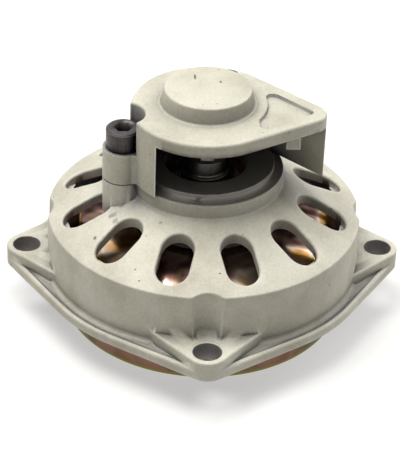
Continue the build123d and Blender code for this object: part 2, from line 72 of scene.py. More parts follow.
def add(tree, kind, inputs=(), stops=(), **settings):
    """Adds a node: its settings, its inputs as values or sockets to link, and its ramp's stops.

    A Mix node's inputs go by number: 2 and 3 are its two numbers, 4 and 5 its vectors, and 6 and 7
    its colours, with results at outputs 0, 1 and 2.
    """
    node = tree.nodes.new(kind)
    for name, value in settings.items():
        setattr(node, name, value)
    for name, value in dict(inputs).items():
        if isinstance(value, bpy.types.NodeSocket):
            tree.links.new(value, node.inputs[name])
        else:
            node.inputs[name].default_value = value
    for number, (place, colour) in enumerate(stops):
        ramp = node.color_ramp.elements
        stop = ramp[number] if number < 2 else ramp.new(place)
        stop.position = place
        stop.color = linear(colour)
    return node


def finish(name, values, colour="#808080"):
    """A new finish: its material, node tree, surface shader and the object's own coordinates."""
    material = bpy.data.materials.new(name)
    material.use_nodes = True
    tree = material.node_tree
    surface = tree.nodes["Principled BSDF"]
    surface.inputs["Base Color"].default_value = linear(colour)
    for key, value in values.items():
        surface.inputs[key].default_value = value
    place = add(tree, "ShaderNodeTexCoord").outputs["Object"]
    return material, tree, surface, place


def polar(tree, place):
    """Distance from the shaft's axis and height, both in metres."""
    flat = add(tree, "ShaderNodeVectorMath", {0: place, 1: (1, 1, 0)}, operation="MULTIPLY")
    radius = add(tree, "ShaderNodeVectorMath", {0: flat.outputs[0]}, operation="LENGTH")
    height = add(tree, "ShaderNodeSeparateXYZ", {0: place}).outputs["Z"]
    return radius.outputs["Value"], height


def turning(tree, place, feed, depth):
    """Bump of the rings that a lathe tool or a grinding wheel leaves around the axis, feed apart.

    A Wave texture of scale 1 has its rings 2 pi / 20 apart.
    """
    rings = add(tree, "ShaderNodeTexWave", {
        "Vector": place, "Scale": 2 * math.pi / 20 / feed,
        "Distortion": 0.4, "Detail": 1.0, "Detail Scale": 2.0,
    }, wave_type="RINGS", rings_direction="Z")
    return add(tree, "ShaderNodeBump", {
        "Height": rings.outputs["Fac"], "Distance": depth, "Strength": 1.0,
    })


# Yellow chromate over zinc: a bright metal under a thin clear film. It shows gold, cream, rose and
# olive in soft patches on the web, where the film's thickness changes, and dull brown on the rim.
chromate, tree, surface, place = finish("yellow chromate over zinc", {"Metallic": 1.0})
radius, height = polar(tree, place)
film_patch, film_layout = 0.01818, 2.0
film = add(tree, "ShaderNodeTexNoise", {
    "Vector": place, "W": film_layout, "Scale": 1 / film_patch, "Detail": 2.0, "Distortion": 0.9,
}, noise_dimensions="4D")
web_tint = add(tree, "ShaderNodeValToRGB", {"Fac": film.outputs["Fac"]}, stops=(
    (0.26, "#6E6A44"), (0.37, "#DB9E50"), (0.45, "#EADBC4"),
    (0.53, "#BC9288"), (0.60, "#84625F"), (0.70, "#8F8256"),
))
rim_tint = add(tree, "ShaderNodeValToRGB", {"Fac": film.outputs["Fac"]}, stops=(
    (0.34, "#7A5A44"), (0.48, "#9A7464"), (0.62, "#6F6342"),
))
rim_end, web_start = 0.0210, 0.0240
on_web = add(tree, "ShaderNodeMapRange", {
    "Value": height, "From Min": rim_end, "From Max": web_start,
})
plated = add(tree, "ShaderNodeMix", {
    0: on_web.outputs[0], 6: rim_tint.outputs[0], 7: web_tint.outputs[0],
}, data_type="RGBA")
# The film runs thick along the cup's open edge. A thin bright yellow line before the web's corner
# is a painted highlight, standing for the glint along that corner.
edge_start, edge_full = 0.0016, 0.0007
at_foot = add(tree, "ShaderNodeMapRange", {
    "Value": height, "From Min": edge_start, "From Max": edge_full,
})
plated = add(tree, "ShaderNodeMix", {
    0: at_foot.outputs[0], 6: plated.outputs[2], 7: linear("#8F8C48"),
}, data_type="RGBA")
# Painted highlight: a bright yellow ring of colour at the corner's radius.
line_radius, half_line = 0.0384, 0.00025
painted_corner_glint = add(tree, "ShaderNodeMath", {0: radius, 1: line_radius, 2: half_line},
                  operation="COMPARE")
plated = add(tree, "ShaderNodeMix", {
    0: painted_corner_glint.outputs[0], 6: plated.outputs[2], 7: linear("#F0C83C"),
}, data_type="RGBA")
# The bore, 80 mm across, is bare below the web.
bore_outside, bore_inside = 0.0404, 0.0402
in_bore = add(tree, "ShaderNodeMapRange", {
    "Value": radius, "From Min": bore_outside, "From Max": bore_inside,
})
wear_end, wear_full = 0.0262, 0.0252
under_web = add(tree, "ShaderNodeMapRange", {
    "Value": height, "From Min": wear_end, "From Max": wear_full,
})
worn = add(tree, "ShaderNodeMath", {0: in_bore.outputs[0], 1: under_web.outputs[0]},
           operation="MULTIPLY")
colour = add(tree, "ShaderNodeMix", {
    0: worn.outputs[0], 6: plated.outputs[2], 7: linear("#9B9690"),
}, data_type="RGBA")
tree.links.new(colour.outputs[2], surface.inputs["Base Color"])
smear_size, smear_depth = 0.004762, 0.14
smears = add(tree, "ShaderNodeTexNoise", {"Vector": place, "Scale": 1 / smear_size, "Detail": 3.0})
gloss = add(tree, "ShaderNodeMapRange", {"Value": on_web.outputs[0], "To Min": 0.36, "To Max": 0.22})
gloss = add(tree, "ShaderNodeMath", {
    0: smears.outputs["Fac"], 1: smear_depth, 2: gloss.outputs[0],
}, operation="MULTIPLY_ADD")
gloss = add(tree, "ShaderNodeMath", {0: gloss.outputs[0], 1: smear_depth / 2}, operation="SUBTRACT")
tree.links.new(gloss.outputs[0], surface.inputs["Roughness"])
# The press leaves the sheet wavy. The tool's rings, about 0.2 mm apart, are drawn 0.35 mm apart,
# and the waves far deeper than a real press leaves them, because they would not show otherwise.
sheet_wave, wave_depth = 0.01111, 0.0016
pressed = add(tree, "ShaderNodeTexNoise", {"Vector": place, "Scale": 1 / sheet_wave, "Detail": 1.0})
tooled = turning(tree, place, feed=0.00035, depth=0.0000025)
wavy = add(tree, "ShaderNodeBump", {
    "Height": pressed.outputs["Fac"], "Distance": wave_depth, "Strength": 1.0,
    "Normal": tooled.outputs[0],
})
tree.links.new(wavy.outputs[0], surface.inputs["Normal"])


def lathe(name, outline, material):
    """Solid of revolution: outline holds (radius, height, corner's tangent) in millimetres."""
    corner_steps, turns, sharp = 6, 192, math.radians(40)
    section = []
    for number, (r, z, tangent) in enumerate(outline):
        here = Vector((r, z))
        before = (Vector(outline[number - 1][:2]) - here).normalized() * tangent
        after = (Vector(outline[(number + 1) % len(outline)][:2]) - here).normalized() * tangent
        steps = corner_steps if tangent else 0
        for step in range(steps + 1):
            t = step / steps if steps else 0
            section.append((here + before * (1 - t) ** 2 + after * t ** 2) / 1000)
    count = len(section)
    points = [(p.x * math.cos(a), p.x * math.sin(a), p.y)
              for a in (2 * math.pi * turn / turns for turn in range(turns)) for p in section]
    faces = [(turn * count + k, (turn + 1) % turns * count + k,
              (turn + 1) % turns * count + (k + 1) % count, turn * count + (k + 1) % count)
             for turn in range(turns) for k in range(count)]
    mesh = bpy.data.meshes.new(name)
    mesh.from_pydata(points, [], faces)
    mesh.materials.append(material)
    mesh.shade_smooth()
    mesh.set_sharp_from_angle(angle=sharp)
    piece = bpy.data.objects.new(name, mesh)
    bpy.context.scene.collection.objects.link(piece)
    return piece


# Up the outside from the open edge, over the sloping web to the hub's hole, and back inside.
drum = lathe("clutch_drum_surface", (
    (40.0, 0.0, 0.5), (43.5, 0.0, 0.8), (43.5, 26.6, 5.5), (31.0, 30.5, 3.0), (9.02, 30.5, 0),
    (9.02, 27.5, 0), (30.3, 27.5, 3.0), (40.0, 24.5, 2.0),
), chromate)
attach(drum, frame["nodes"]["clutch_drum"]["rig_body"])
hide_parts("clutch_drum")

# Shaft and sprocket. The shaft is turned from case-hardening steel and ground where the bearings
# sit; its flange carries the drum. The seven-tooth sprocket slides on two flats of the shaft, and
# is milled and then hardened in a furnace.


def skin(node, material):
    """A smooth-shaded copy of a CAD node, with its sharp edges kept, that stands for the node."""
    merge_distance, sharp = 1e-6, math.radians(28)
    source = frame["nodes"][node]
    piece = bpy.data.objects.new(node + "_surface", source.data.copy())
    bpy.context.scene.collection.objects.link(piece)
    joined = piece.modifiers.new("Joined", "WELD")
    joined.merge_threshold = merge_distance
    evaluated = piece.evaluated_get(bpy.context.evaluated_depsgraph_get())
    mesh = bpy.data.meshes.new_from_object(evaluated)
    piece.modifiers.remove(joined)
    piece.data = mesh
    mesh.materials.clear()
    mesh.materials.append(material)
    mesh.shade_smooth()
    mesh.set_sharp_from_angle(angle=sharp)
    weighted = piece.modifiers.new("Weighted normals", "WEIGHTED_NORMAL")
    weighted.keep_sharp = True
    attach(piece, source["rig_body"])
    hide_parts(node)


# Turned and ground steel: a satin grey whose rings draw the light out into a soft band. The real
# marks are a few hundredths of a millimetre apart, too fine to show, and are drawn 0.22 mm apart.
ground, tree, surface, place = finish("turned and ground steel", {
    "Metallic": 1.0, "Roughness": 0.34,
})
tarnish_size = 0.00625
tarnish = add(tree, "ShaderNodeTexNoise", {"Vector": place, "Scale": 1 / tarnish_size, "Detail": 4.0})
# Painted shade: the steel's tones are set dark, for the shaft seen deep in the cover's window.
tone = add(tree, "ShaderNodeValToRGB", {"Fac": tarnish.outputs["Fac"]},
           stops=((0.35, "#5C5752"), (0.62, "#827D77")))
tree.links.new(tone.outputs[0], surface.inputs["Base Color"])
wheel_marks = turning(tree, place, feed=0.00022, depth=0.000003)
tree.links.new(wheel_marks.outputs[0], surface.inputs["Normal"])
skin("drum_shaft", ground)

# Furnace-hardened steel: a duller blue-grey that turns straw brown in blooms. The milled grain,
# finer than 0.1 mm, is drawn 0.5 mm wide and breaks up the reflections.
hardened, tree, surface, place = finish("furnace-hardened steel", {
    "Metallic": 1.0, "Roughness": 0.42,
})
bloom_size, milled_grain, grain_depth = 0.004545, 0.0005263, 0.00001
bloom = add(tree, "ShaderNodeTexNoise", {
    "Vector": place, "Scale": 1 / bloom_size, "Detail": 3.0, "Distortion": 0.4,
})
tone = add(tree, "ShaderNodeValToRGB", {"Fac": bloom.outputs["Fac"]},
           stops=((0.30, "#5E6064"), (0.52, "#77767A"), (0.70, "#8C7F74")))
tree.links.new(tone.outputs[0], surface.inputs["Base Color"])
milled = add(tree, "ShaderNodeTexNoise", {"Vector": place, "Scale": 1 / milled_grain, "Detail": 2.0})
grain = add(tree, "ShaderNodeBump", {"Height": milled.outputs["Fac"], "Distance": grain_depth})
tree.links.new(grain.outputs[0], surface.inputs["Normal"])
skin("drive_sprocket", hardened)

# Hub rivets. Six mild steel rivets on one circle clamp the shaft's flange to the drum's web. Their
# flat ends are sunk into the flange, and their domed heads show inside the drum.


def made(name, tree, values):
    """A piece whose mesh a Geometry Nodes tree makes from these values of its named inputs."""
    holder = bpy.data.objects.new(name, bpy.data.meshes.new(name))
    bpy.context.scene.collection.objects.link(holder)
    builder = holder.modifiers.new("Builder", "NODES")
    builder.node_group = tree
    for item in tree.interface.items_tree:
        if item.in_out == "INPUT":
            builder[item.identifier] = values[item.name]
    evaluated = holder.evaluated_get(bpy.context.evaluated_depsgraph_get())
    mesh = bpy.data.meshes.new_from_object(evaluated)
    holder.modifiers.remove(builder)
    holder.data = mesh
    return holder


def sockets(tree, inputs, output):
    """Gives a Geometry Nodes tree its named inputs and one geometry output; returns the inputs."""
    for name, kind in inputs.items():
        tree.interface.new_socket(name=name, in_out="INPUT", socket_type="NodeSocket" + kind)
    tree.interface.new_socket(name=output, in_out="OUTPUT", socket_type="NodeSocketGeometry")
    return tree.nodes.new("NodeGroupInput").outputs


def close(tree, geometry, given):
    """Ends a Geometry Nodes tree: real instances, smooth shading and the material."""
    real = add(tree, "GeometryNodeRealizeInstances", {"Geometry": geometry})
    smooth = add(tree, "GeometryNodeSetShadeSmooth", {"Geometry": real.outputs[0]})
    dressed = add(tree, "GeometryNodeSetMaterial", {
        "Geometry": smooth.outputs[0], "Material": given["Finish"],
    })
    end = tree.nodes.new("NodeGroupOutput")
    tree.links.new(dressed.outputs[0], end.inputs[0])


rivets = bpy.data.node_groups.new("rivets on a circle", "GeometryNodeTree")
given = sockets(rivets, {
    "Count": "Int", "Circle Radius": "Float", "Shank Radius": "Float", "Head Radius": "Float",
    "Head Height": "Float", "Base": "Float", "Top": "Float", "Finish": "Material",
}, "Rivets")
round_faces, head_rings, just_above = 32, 24, 1e-5
circle = add(rivets, "GeometryNodeMeshCircle", {
    "Vertices": given["Count"], "Radius": given["Circle Radius"],
})
# A head is the lower half of a ball, pressed flat.
ball = add(rivets, "GeometryNodeMeshUVSphere", {
    "Segments": round_faces, "Rings": head_rings, "Radius": given["Head Radius"],
})
where = add(rivets, "GeometryNodeInputPosition")
height = add(rivets, "ShaderNodeSeparateXYZ", {0: where.outputs[0]})
above = add(rivets, "FunctionNodeCompare", {0: height.outputs["Z"], 1: just_above},
            data_type="FLOAT", operation="GREATER_THAN")
dome = add(rivets, "GeometryNodeDeleteGeometry", {
    "Geometry": ball.outputs["Mesh"], "Selection": above.outputs[0],
})
flatness = add(rivets, "ShaderNodeMath", {0: given["Head Height"], 1: given["Head Radius"]},
               operation="DIVIDE")
squeeze = add(rivets, "ShaderNodeCombineXYZ", {0: 1.0, 1: 1.0, 2: flatness.outputs[0]})
low = add(rivets, "ShaderNodeCombineXYZ", {2: given["Base"]})
head = add(rivets, "GeometryNodeTransform", {
    "Geometry": dome.outputs[0], "Translation": low.outputs[0], "Scale": squeeze.outputs[0],
})
length = add(rivets, "ShaderNodeMath", {0: given["Top"], 1: given["Base"]}, operation="SUBTRACT")
total = add(rivets, "ShaderNodeMath", {0: given["Top"], 1: given["Base"]})
middle = add(rivets, "ShaderNodeMath", {0: total.outputs[0], 1: 0.5}, operation="MULTIPLY")
centre = add(rivets, "ShaderNodeCombineXYZ", {2: middle.outputs[0]})
rod = add(rivets, "GeometryNodeMeshCylinder", {
    "Vertices": round_faces, "Radius": given["Shank Radius"], "Depth": length.outputs[0],
})
shank = add(rivets, "GeometryNodeTransform", {
    "Geometry": rod.outputs["Mesh"], "Translation": centre.outputs[0],
})
rivet = add(rivets, "GeometryNodeJoinGeometry")
rivets.links.new(head.outputs[0], rivet.inputs[0])
rivets.links.new(shank.outputs[0], rivet.inputs[0])
spread = add(rivets, "GeometryNodeInstanceOnPoints", {
    "Points": circle.outputs[0], "Instance": rivet.outputs[0],
})
close(rivets, spread.outputs[0], given)

low_corner, high_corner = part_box("hub_rivets")
flange_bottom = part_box("drum_shaft")[0][2]
head_radius, shank_radius = 0.0027, 0.00175
riveted = made("hub_rivets_surface", rivets, {
    "Count": 6, "Circle Radius": high_corner[0] - head_radius,
    "Shank Radius": shank_radius, "Head Radius": head_radius,
    "Head Height": flange_bottom - low_corner[2], "Base": flange_bottom,
    "Top": high_corner[2], "Finish": ground,
})
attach(riveted, frame["nodes"]["hub_rivets"]["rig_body"])
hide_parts("hub_rivets")

# Ball bearings. Both are closed deep-groove bearings of through-hardened steel: rings and balls are
# ground and polished, and the cages and the small bearing's shields are pressed from steel strip.

# Ground bearing steel: nearly a mirror, with a faint ring in its reflections. Its marks are finer
# than a hundredth of a millimetre and are drawn 0.12 mm apart.
polished, tree, surface, place = finish("ground bearing steel", {
    "Metallic": 1.0, "Roughness": 0.18,
}, "#C2C2C0")
fine_marks = turning(tree, place, feed=0.00012, depth=0.0000012)
tree.links.new(fine_marks.outputs[0], surface.inputs["Normal"])
for bearing in ("lower_bearing_", "upper_bearing_"):
    for piece in ("outer_ring", "inner_ring", "balls"):
        skin(bearing + piece, polished)

# Pressed steel strip: paler and duller than the rings, with the cloudy sheen that rolling leaves.
pressed, tree, surface, place = finish("pressed steel strip", {"Metallic": 1.0})
cloud_size = 0.002381
rolled = add(tree, "ShaderNodeTexNoise", {"Vector": place, "Scale": 1 / cloud_size, "Detail": 3.0})
tone = add(tree, "ShaderNodeValToRGB", {"Fac": rolled.outputs["Fac"]},
           stops=((0.35, "#918E88"), (0.65, "#AFACA6")))
tree.links.new(tone.outputs[0], surface.inputs["Base Color"])
sheen = add(tree, "ShaderNodeMapRange", {
    "Value": rolled.outputs["Fac"], "To Min": 0.28, "To Max": 0.46,
})
tree.links.new(sheen.outputs[0], surface.inputs["Roughness"])
for piece in ("lower_bearing_cage", "upper_bearing_cage",
              "upper_bearing_top_shield", "upper_bearing_bottom_shield"):
    skin(piece, pressed)

# Seals of the large bearing. Rings of nitrile rubber, moulded with three low ribs on each face,
# fill the gap between the bearing's rings above and below the balls.

# Red-brown nitrile rubber: matt and dark, with paler clouds where the rubber has bloomed. The
# mould's grain, about 0.1 mm, is drawn 0.4 mm wide.
nitrile, tree, surface, place = finish("red-brown nitrile rubber", {"Roughness": 0.58})
cloud_size, mould_grain, grain_depth = 0.003333, 0.0004167, 0.00001
bloomed = add(tree, "ShaderNodeTexNoise", {"Vector": place, "Scale": 1 / cloud_size, "Detail": 4.0})
tone = add(tree, "ShaderNodeValToRGB", {"Fac": bloomed.outputs["Fac"]},
           stops=((0.35, "#5A2A24"), (0.65, "#733A30")))
tree.links.new(tone.outputs[0], surface.inputs["Base Color"])
moulded = add(tree, "ShaderNodeTexNoise", {"Vector": place, "Scale": 1 / mould_grain})
matt = add(tree, "ShaderNodeBump", {"Height": moulded.outputs["Fac"], "Distance": grain_depth})
tree.links.new(matt.outputs[0], surface.inputs["Normal"])

seal = bpy.data.node_groups.new("ribbed seal ring", "GeometryNodeTree")
given = sockets(seal, {
    "Mean Radius": "Float", "Width": "Float", "Thickness": "Float", "Ribs": "Int",
    "Rib Height": "Float", "Middle": "Float", "Finish": "Material",
}, "Seal")
ring_points, section_points = 128, 96
path = add(seal, "GeometryNodeCurvePrimitiveCircle", {
    "Resolution": ring_points, "Radius": given["Mean Radius"],
})
section = add(seal, "GeometryNodeCurvePrimitiveCircle", {"Resolution": section_points, "Radius": 1.0})
where = add(seal, "GeometryNodeInputPosition")
corner = add(seal, "ShaderNodeSeparateXYZ", {0: where.outputs[0]})
# The unit circle is squared off into a slab: both of its coordinates are pushed out and stop at 1.
push = 1.42
across, upward = [
    add(seal, "ShaderNodeClamp", {"Value": pushed.outputs[0], "Min": -1.0, "Max": 1.0})
    for pushed in [
        add(seal, "ShaderNodeMath", {0: corner.outputs[axis], 1: push}, operation="MULTIPLY")
        for axis in (0, 1)
    ]
]
half_width = add(seal, "ShaderNodeMath", {0: given["Width"], 1: 0.5}, operation="MULTIPLY")
half_thick = add(seal, "ShaderNodeMath", {0: given["Thickness"], 1: 0.5}, operation="MULTIPLY")
# The ribs: a cosine across the face, with one crest to a rib, dips the slab between them.
turns = add(seal, "ShaderNodeMath", {0: given["Ribs"], 1: math.pi}, operation="MULTIPLY")
phase = add(seal, "ShaderNodeMath", {0: across.outputs[0], 1: turns.outputs[0]},
            operation="MULTIPLY")
wave = add(seal, "ShaderNodeMath", {0: phase.outputs[0]}, operation="COSINE")
dip = add(seal, "ShaderNodeMath", {0: wave.outputs[0], 1: -0.5, 2: 0.5}, operation="MULTIPLY_ADD")
dip = add(seal, "ShaderNodeMath", {0: dip.outputs[0], 1: given["Rib Height"]},
          operation="MULTIPLY")
level = add(seal, "ShaderNodeMath", {0: half_thick.outputs[0], 1: dip.outputs[0]},
            operation="SUBTRACT")
outline_x = add(seal, "ShaderNodeMath", {0: across.outputs[0], 1: half_width.outputs[0]},
                operation="MULTIPLY")
outline_y = add(seal, "ShaderNodeMath", {0: upward.outputs[0], 1: level.outputs[0]},
                operation="MULTIPLY")
outline = add(seal, "ShaderNodeCombineXYZ", {0: outline_x.outputs[0], 1: outline_y.outputs[0]})
ribbed = add(seal, "GeometryNodeSetPosition", {
    "Geometry": section.outputs[0], "Position": outline.outputs[0],
})
ring = add(seal, "GeometryNodeCurveToMesh", {
    "Curve": path.outputs[0], "Profile Curve": ribbed.outputs[0],
})
lift = add(seal, "ShaderNodeCombineXYZ", {2: given["Middle"]})
placed = add(seal, "GeometryNodeTransform", {
    "Geometry": ring.outputs[0], "Translation": lift.outputs[0],
})
close(seal, placed.outputs[0], given)

ring_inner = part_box("lower_bearing_inner_ring")[1][0]
lip_gap, rib_height = 0.00015, 0.00025
for node in ("lower_bearing_top_seal", "lower_bearing_bottom_seal"):
    low_corner, high_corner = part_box(node)
    inner, outer = ring_inner + lip_gap, high_corner[0]
    ring = made(node + "_surface", seal, {
        "Mean Radius": (inner + outer) / 2, "Width": outer - inner,
        "Thickness": high_corner[2] - low_corner[2], "Ribs": 3, "Rib Height": rib_height,
        "Middle": (low_corner[2] + high_corner[2]) / 2, "Finish": nitrile,
    })
    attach(ring, frame["nodes"][node]["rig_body"])
    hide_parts(node)

# Circlips and cover screws. Spring steel rings and two socket head screws of grade 12.9. The screws
# pull the cover down; all four pieces are blackened in hot salts and oiled.

# Black oxide on steel: a thin satin black, cloudy where the oil has dried, that rubs to grey at
# the edges. Its colour is darkened in the sockets and other recesses, following occlusion, as painted
# shade.
blackened, tree, surface, place = finish("black oxide on steel", {"Metallic": 0.75})
cloud_size, edge_width, socket_reach = 0.002632, 0.0003, 0.009
patchy = add(tree, "ShaderNodeTexNoise", {
    "Vector": place, "Scale": 1 / cloud_size, "Detail": 4.0, "Roughness": 0.6,
})
oxide = add(tree, "ShaderNodeValToRGB", {"Fac": patchy.outputs["Fac"]},
            stops=((0.32, "#3C3838"), (0.55, "#4C4847"), (0.72, "#5E5855")))
# An edge is where the normal, rounded over edge_width, turns away from the true one.
softened = add(tree, "ShaderNodeBevel", {"Radius": edge_width}, samples=4)
flat = add(tree, "ShaderNodeNewGeometry").outputs["Normal"]
bend = add(tree, "ShaderNodeVectorMath", {0: softened.outputs[0], 1: flat},
           operation="DOT_PRODUCT")
edge = add(tree, "ShaderNodeMapRange", {
    "Value": bend.outputs["Value"], "From Min": 0.995, "From Max": 0.90,
})
edge = add(tree, "ShaderNodeMath", {0: edge.outputs[0], 1: 0.55}, operation="MULTIPLY")
rubbed = add(tree, "ShaderNodeMix", {
    0: edge.outputs[0], 6: oxide.outputs[0], 7: linear("#9A9693"),
}, data_type="RGBA")
# Painted shade: the colour falls to near black where ambient occlusion is strong, as in the sockets.
recess = add(tree, "ShaderNodeAmbientOcclusion", {"Distance": socket_reach}, samples=8)
painted_socket_shade = add(tree, "ShaderNodeMapRange", {
    "Value": recess.outputs["AO"], "From Min": 0.42, "From Max": 0.75, "To Min": 0.06, "To Max": 1.0,
})
shaded = add(tree, "ShaderNodeVectorMath", {0: rubbed.outputs[2], 3: painted_socket_shade.outputs[0]},
             operation="SCALE")
tree.links.new(shaded.outputs[0], surface.inputs["Base Color"])
oiled = add(tree, "ShaderNodeMapRange", {
    "Value": patchy.outputs["Fac"], "To Min": 0.30, "To Max": 0.50,
})
tree.links.new(oiled.outputs[0], surface.inputs["Roughness"])
for node in ("bearing_circlip", "shaft_circlip", "cover_screws"):
    skin(node, blackened)

# Housing. Gravity-cast aluminium, blasted with beads. Its spigot, ledge and bearing seat are turned
# afterwards, and the underside of its flange is faced on the same lathe.


def casting(name, tones, marks):
    """Blasted cast aluminium in three tones; marks are nicks and stains.

    Each mark is (centre, half sizes, strength). The blasting gives a pale, warm, matt skin with a
    fine grain. Edges are brighter where rubbed, with a painted highlight along them, and the colour
    is darkened in crevices and hollows by painted shade. The beads' dimples, about 0.1 mm across, are
    drawn 0.77 mm wide, and the pores 3 mm apart, so that both show.
    """
    cloud_size, bead_dimple, pore_pitch, pore_field = 0.01613, 0.0007692, 0.00303, 0.01111
    ragged_size, swell_size = 0.0014286, 0.004167
    swell_depth, pit_depth, dimple_depth = 0.00022, 0.00025, 0.00007
    edge_width, crevice_reach, hollow_reach = 0.0007, 0.0012, 0.014
    dome_top, collar_top = 0.034, 0.040

    material, tree, surface, place = finish(name, {"Metallic": 0.10})
    clouds = add(tree, "ShaderNodeTexNoise", {
        "Vector": place, "Scale": 1 / cloud_size, "Detail": 5.0, "Roughness": 0.55,
    })
    skin_tone = add(tree, "ShaderNodeValToRGB", {"Fac": clouds.outputs["Fac"]},
                    stops=tuple(zip((0.30, 0.50, 0.72), tones)))
    beads = add(tree, "ShaderNodeTexNoise", {
        "Vector": place, "Scale": 1 / bead_dimple, "Detail": 4.0, "Roughness": 0.7,
    })
    speckle = add(tree, "ShaderNodeMapRange", {
        "Value": beads.outputs["Fac"], "From Min": 0.3, "From Max": 0.7,
        "To Min": 0.88, "To Max": 1.07,
    })
    grainy = add(tree, "ShaderNodeVectorMath", {0: skin_tone.outputs[0], 3: speckle.outputs[0]},
                 operation="SCALE")

    # Pores: the middle of a cell, larger where the field of pores is dense.
    pores = add(tree, "ShaderNodeTexVoronoi", {"Vector": place, "Scale": 1 / pore_pitch})
    field = add(tree, "ShaderNodeTexNoise", {"Vector": place, "Scale": 1 / pore_field, "Detail": 2.0})
    pore_size = add(tree, "ShaderNodeMapRange", {
        "Value": field.outputs["Fac"], "From Min": 0.50, "From Max": 0.66,
        "To Min": 0.01, "To Max": 0.085,
    })
    pore = add(tree, "ShaderNodeMath", {0: pores.outputs["Distance"], 1: pore_size.outputs[0]},
               operation="SUBTRACT")
    pore = add(tree, "ShaderNodeMapRange", {
        "Value": pore.outputs[0], "From Min": 0.02, "From Max": -0.02,
    })

    # Marks: ellipsoids with ragged edges.
    dark = pore.outputs[0]
    for centre, half, strength in marks:
        shift = add(tree, "ShaderNodeVectorMath", {0: place, 1: centre}, operation="SUBTRACT")
        scaled = add(tree, "ShaderNodeVectorMath", {0: shift.outputs[0], 1: half},
                     operation="DIVIDE")
        ragged = add(tree, "ShaderNodeTexNoise", {
            "Vector": place, "Scale": 1 / ragged_size, "Detail": 2.0,
        })
        away = add(tree, "ShaderNodeVectorMath", {0: scaled.outputs[0]}, operation="LENGTH")
        away = add(tree, "ShaderNodeMath", {
            0: ragged.outputs["Fac"], 1: 1.2, 2: away.outputs["Value"],
        }, operation="MULTIPLY_ADD")
        mark = add(tree, "ShaderNodeMapRange", {
            "Value": away.outputs[0], "From Min": 1.7, "From Max": 1.1, "To Max": strength,
        })
        dark = add(tree, "ShaderNodeMath", {0: dark, 1: mark.outputs[0]},
                   operation="MAXIMUM").outputs[0]
    stained = add(tree, "ShaderNodeMix", {
        0: dark, 6: grainy.outputs[0], 7: linear("#6E675A"),
    }, data_type="RGBA")

    # Rubbed edges, brightened as worn metal and as a painted highlight: where the rounded normal
    # turns away from the true one, and nothing is close.
    softened = add(tree, "ShaderNodeBevel", {"Radius": edge_width}, samples=4)
    flat = add(tree, "ShaderNodeNewGeometry").outputs["Normal"]
    bend = add(tree, "ShaderNodeVectorMath", {0: softened.outputs[0], 1: flat},
               operation="DOT_PRODUCT")
    edge = add(tree, "ShaderNodeMapRange", {
        "Value": bend.outputs["Value"], "From Min": 0.995, "From Max": 0.91,
    })
    open_air = add(tree, "ShaderNodeAmbientOcclusion", {"Distance": crevice_reach}, samples=6)
    outward = add(tree, "ShaderNodeMapRange", {
        "Value": open_air.outputs["AO"], "From Min": 0.75, "From Max": 0.95,
    })
    worn = add(tree, "ShaderNodeMath", {0: edge.outputs[0], 1: outward.outputs[0]},
               operation="MULTIPLY")
    # Painted highlight: worn edges are mixed towards near white.
    edge_worn_and_highlit = add(tree, "ShaderNodeMix", {
        0: worn.outputs[0], 6: stained.outputs[2], 7: linear("#F3F0E8"),
    }, data_type="RGBA")

    # Painted shade: the colour is darkened in crevices, and in hollows, which reach further out above
    # the dome, and turned violet-grey there.
    painted_crevice_shade = add(tree, "ShaderNodeMapRange", {
        "Value": open_air.outputs["AO"], "From Min": 0.40, "From Max": 0.85,
        "To Min": 0.45, "To Max": 1.0,
    })
    hollow = add(tree, "ShaderNodeAmbientOcclusion", {"Distance": hollow_reach}, samples=6)
    height = add(tree, "ShaderNodeSeparateXYZ", {0: place}).outputs["Z"]
    reach = add(tree, "ShaderNodeMapRange", {
        "Value": height, "From Min": dome_top, "From Max": collar_top,
        "To Min": 0.76, "To Max": 0.90,
    })
    outside_hollow_shade = add(tree, "ShaderNodeMapRange", {
        "Value": hollow.outputs["AO"], "From Min": 0.44, "From Max": reach.outputs[0],
    })
    painted_hollow_shade = add(tree, "ShaderNodeMix", {
        0: outside_hollow_shade.outputs[0], 6: linear("#524E58"), 7: edge_worn_and_highlit.outputs[2],
    }, data_type="RGBA")
    skin_colour = add(tree, "ShaderNodeVectorMath", {0: painted_hollow_shade.outputs[2], 3: painted_crevice_shade.outputs[0]},
                      operation="SCALE")

    satin = add(tree, "ShaderNodeMapRange", {
        "Value": worn.outputs[0], "To Min": 0.66, "To Max": 0.42,
    })
    swell = add(tree, "ShaderNodeTexNoise", {"Vector": place, "Scale": 1 / swell_size, "Detail": 2.0})
    waves = add(tree, "ShaderNodeBump", {
        "Height": swell.outputs["Fac"], "Distance": swell_depth, "Strength": 0.8,
    })
    pitted = add(tree, "ShaderNodeBump", {
        "Height": dark, "Distance": pit_depth, "Normal": waves.outputs[0],
    }, invert=True)
    grain = add(tree, "ShaderNodeBump", {
        "Height": beads.outputs["Fac"], "Distance": dimple_depth, "Normal": pitted.outputs[0],
    })
    tree.links.new(skin_colour.outputs[0], surface.inputs["Base Color"])
    tree.links.new(satin.outputs[0], surface.inputs["Roughness"])
    tree.links.new(grain.outputs[0], surface.inputs["Normal"])
    return material, tree, surface, place, skin_colour, satin, grain


# Two stains in front of the screw's boss, and two dark spots lower on the dome.
housing_tones = ("#C5C0AF", "#D9D5C5", "#E7E4D6")
blasted, tree, surface, place, skin_colour, satin, grain = casting(
    "bead-blasted casting, turned spigot", housing_tones, (
        ((-0.0283, -0.0160, 0.0399), (0.0014, 0.0011, 0.002), 0.55),
        ((-0.0272, -0.0186, 0.0397), (0.0010, 0.0012, 0.002), 0.45),
        ((-0.0332, -0.0228, 0.0363), (0.0005, 0.0007, 0.002), 0.85),
        ((-0.0139, -0.0235, 0.0423), (0.0006, 0.0005, 0.002), 0.5),
    ))
